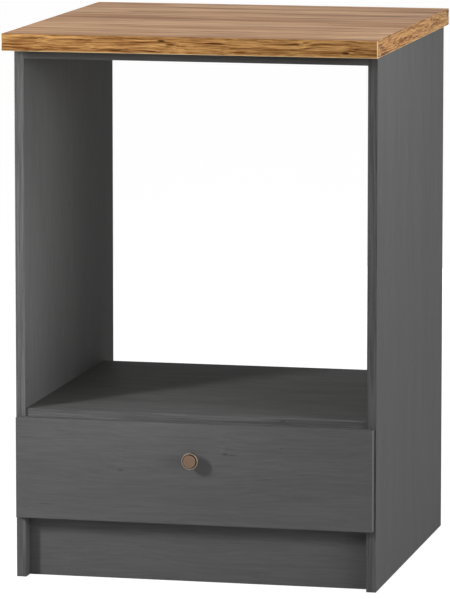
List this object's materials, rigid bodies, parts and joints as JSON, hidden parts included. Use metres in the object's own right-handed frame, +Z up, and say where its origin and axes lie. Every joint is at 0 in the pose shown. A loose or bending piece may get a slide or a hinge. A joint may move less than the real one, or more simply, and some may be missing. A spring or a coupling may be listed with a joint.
{
  "type": "oven base cabinet",
  "caption": "Freestanding oven base cabinet: dark wood-grain carcass, oak-look worktop, open niche for a built-in oven, and a roller drawer with a round knob below.",
  "frame": {"origin": "on the floor, under the middle of the worktop", "axes": "+X to the right seen from the front, +Y from the drawer to the wall, +Z up"},
  "size_m": [0.617, 0.635, 0.898],
  "materials": {
    "graphite_melamine": "embossed wood-grain melamine",
    "oak_laminate": "textured oak laminate",
    "oak_edging": "textured oak edging",
    "drawer_foil": "smooth foil",
    "hardboard": "lacquered hardboard",
    "antique_brass": "antique, satin",
    "coated_steel": "epoxy powder coat",
    "nylon": "moulded",
    "beech": "fluted, raw",
    "zinc_steel": "zinc plated"
  },
  "bodies": {
    "carcass": {"worktop_board": "oak_laminate", "worktop_front_edging": "oak_edging", "worktop_left_edging": "oak_edging", "worktop_right_edging": "oak_edging", "left_side_panel": "graphite_melamine", "right_side_panel": "graphite_melamine", "base_panel": "graphite_melamine", "oven_shelf": "graphite_melamine", "front_top_rail": "graphite_melamine", "rear_top_rail": "graphite_melamine", "plinth_board": "graphite_melamine", "cam_bolts": "zinc_steel", "cam_locks": "zinc_steel", "wood_dowels": "beech", "worktop_screws": "zinc_steel", "left_cabinet_runner": "coated_steel", "right_cabinet_runner": "coated_steel", "cabinet_roller_rivets": "zinc_steel", "cabinet_runner_screws": "zinc_steel"},
    "drawer": {"drawer_front": "graphite_melamine", "drawer_left_side": "drawer_foil", "drawer_right_side": "drawer_foil", "drawer_back": "drawer_foil", "drawer_bottom": "hardboard", "knob": "antique_brass", "knob_screw": "zinc_steel", "drawer_cam_bolts": "zinc_steel", "drawer_cam_locks": "zinc_steel", "drawer_dowels": "beech", "drawer_back_screws": "zinc_steel", "left_drawer_runner": "coated_steel", "right_drawer_runner": "coated_steel", "drawer_roller_rivets": "zinc_steel", "drawer_runner_screws": "zinc_steel"},
    "left_front_roller": {"left_front_roller": "nylon"},
    "left_rear_roller": {"left_rear_roller": "nylon"},
    "right_front_roller": {"right_front_roller": "nylon"},
    "right_rear_roller": {"right_rear_roller": "nylon"}
  },
  "joints": [
    {"name": "drawer_slide", "type": "slide", "parent": "carcass", "child": "drawer", "axis": [0, -1, 0], "range_m": [0, 0.375]},
    {"name": "left_front_roller_spin", "type": "hinge", "parent": "carcass", "child": "left_front_roller", "pos_m": [-0.2776, -0.2565, 0.13], "axis": [1, 0, 0], "continuous": true},
    {"name": "left_rear_roller_spin", "type": "hinge", "parent": "drawer", "child": "left_rear_roller", "pos_m": [-0.2776, 0.2155, 0.1337], "axis": [1, 0, 0], "continuous": true},
    {"name": "right_front_roller_spin", "type": "hinge", "parent": "carcass", "child": "right_front_roller", "pos_m": [0.2776, -0.2565, 0.13], "axis": [1, 0, 0], "continuous": true},
    {"name": "right_rear_roller_spin", "type": "hinge", "parent": "drawer", "child": "right_rear_roller", "pos_m": [0.2776, 0.2155, 0.1337], "axis": [1, 0, 0], "continuous": true}
  ],
  "couplings": [
    {"joint": "left_front_roller_spin", "follows": "drawer_slide", "rad_per_m": 100},
    {"joint": "left_rear_roller_spin", "follows": "drawer_slide", "rad_per_m": 100},
    {"joint": "right_front_roller_spin", "follows": "drawer_slide", "rad_per_m": 100},
    {"joint": "right_rear_roller_spin", "follows": "drawer_slide", "rad_per_m": 100}
  ]
}
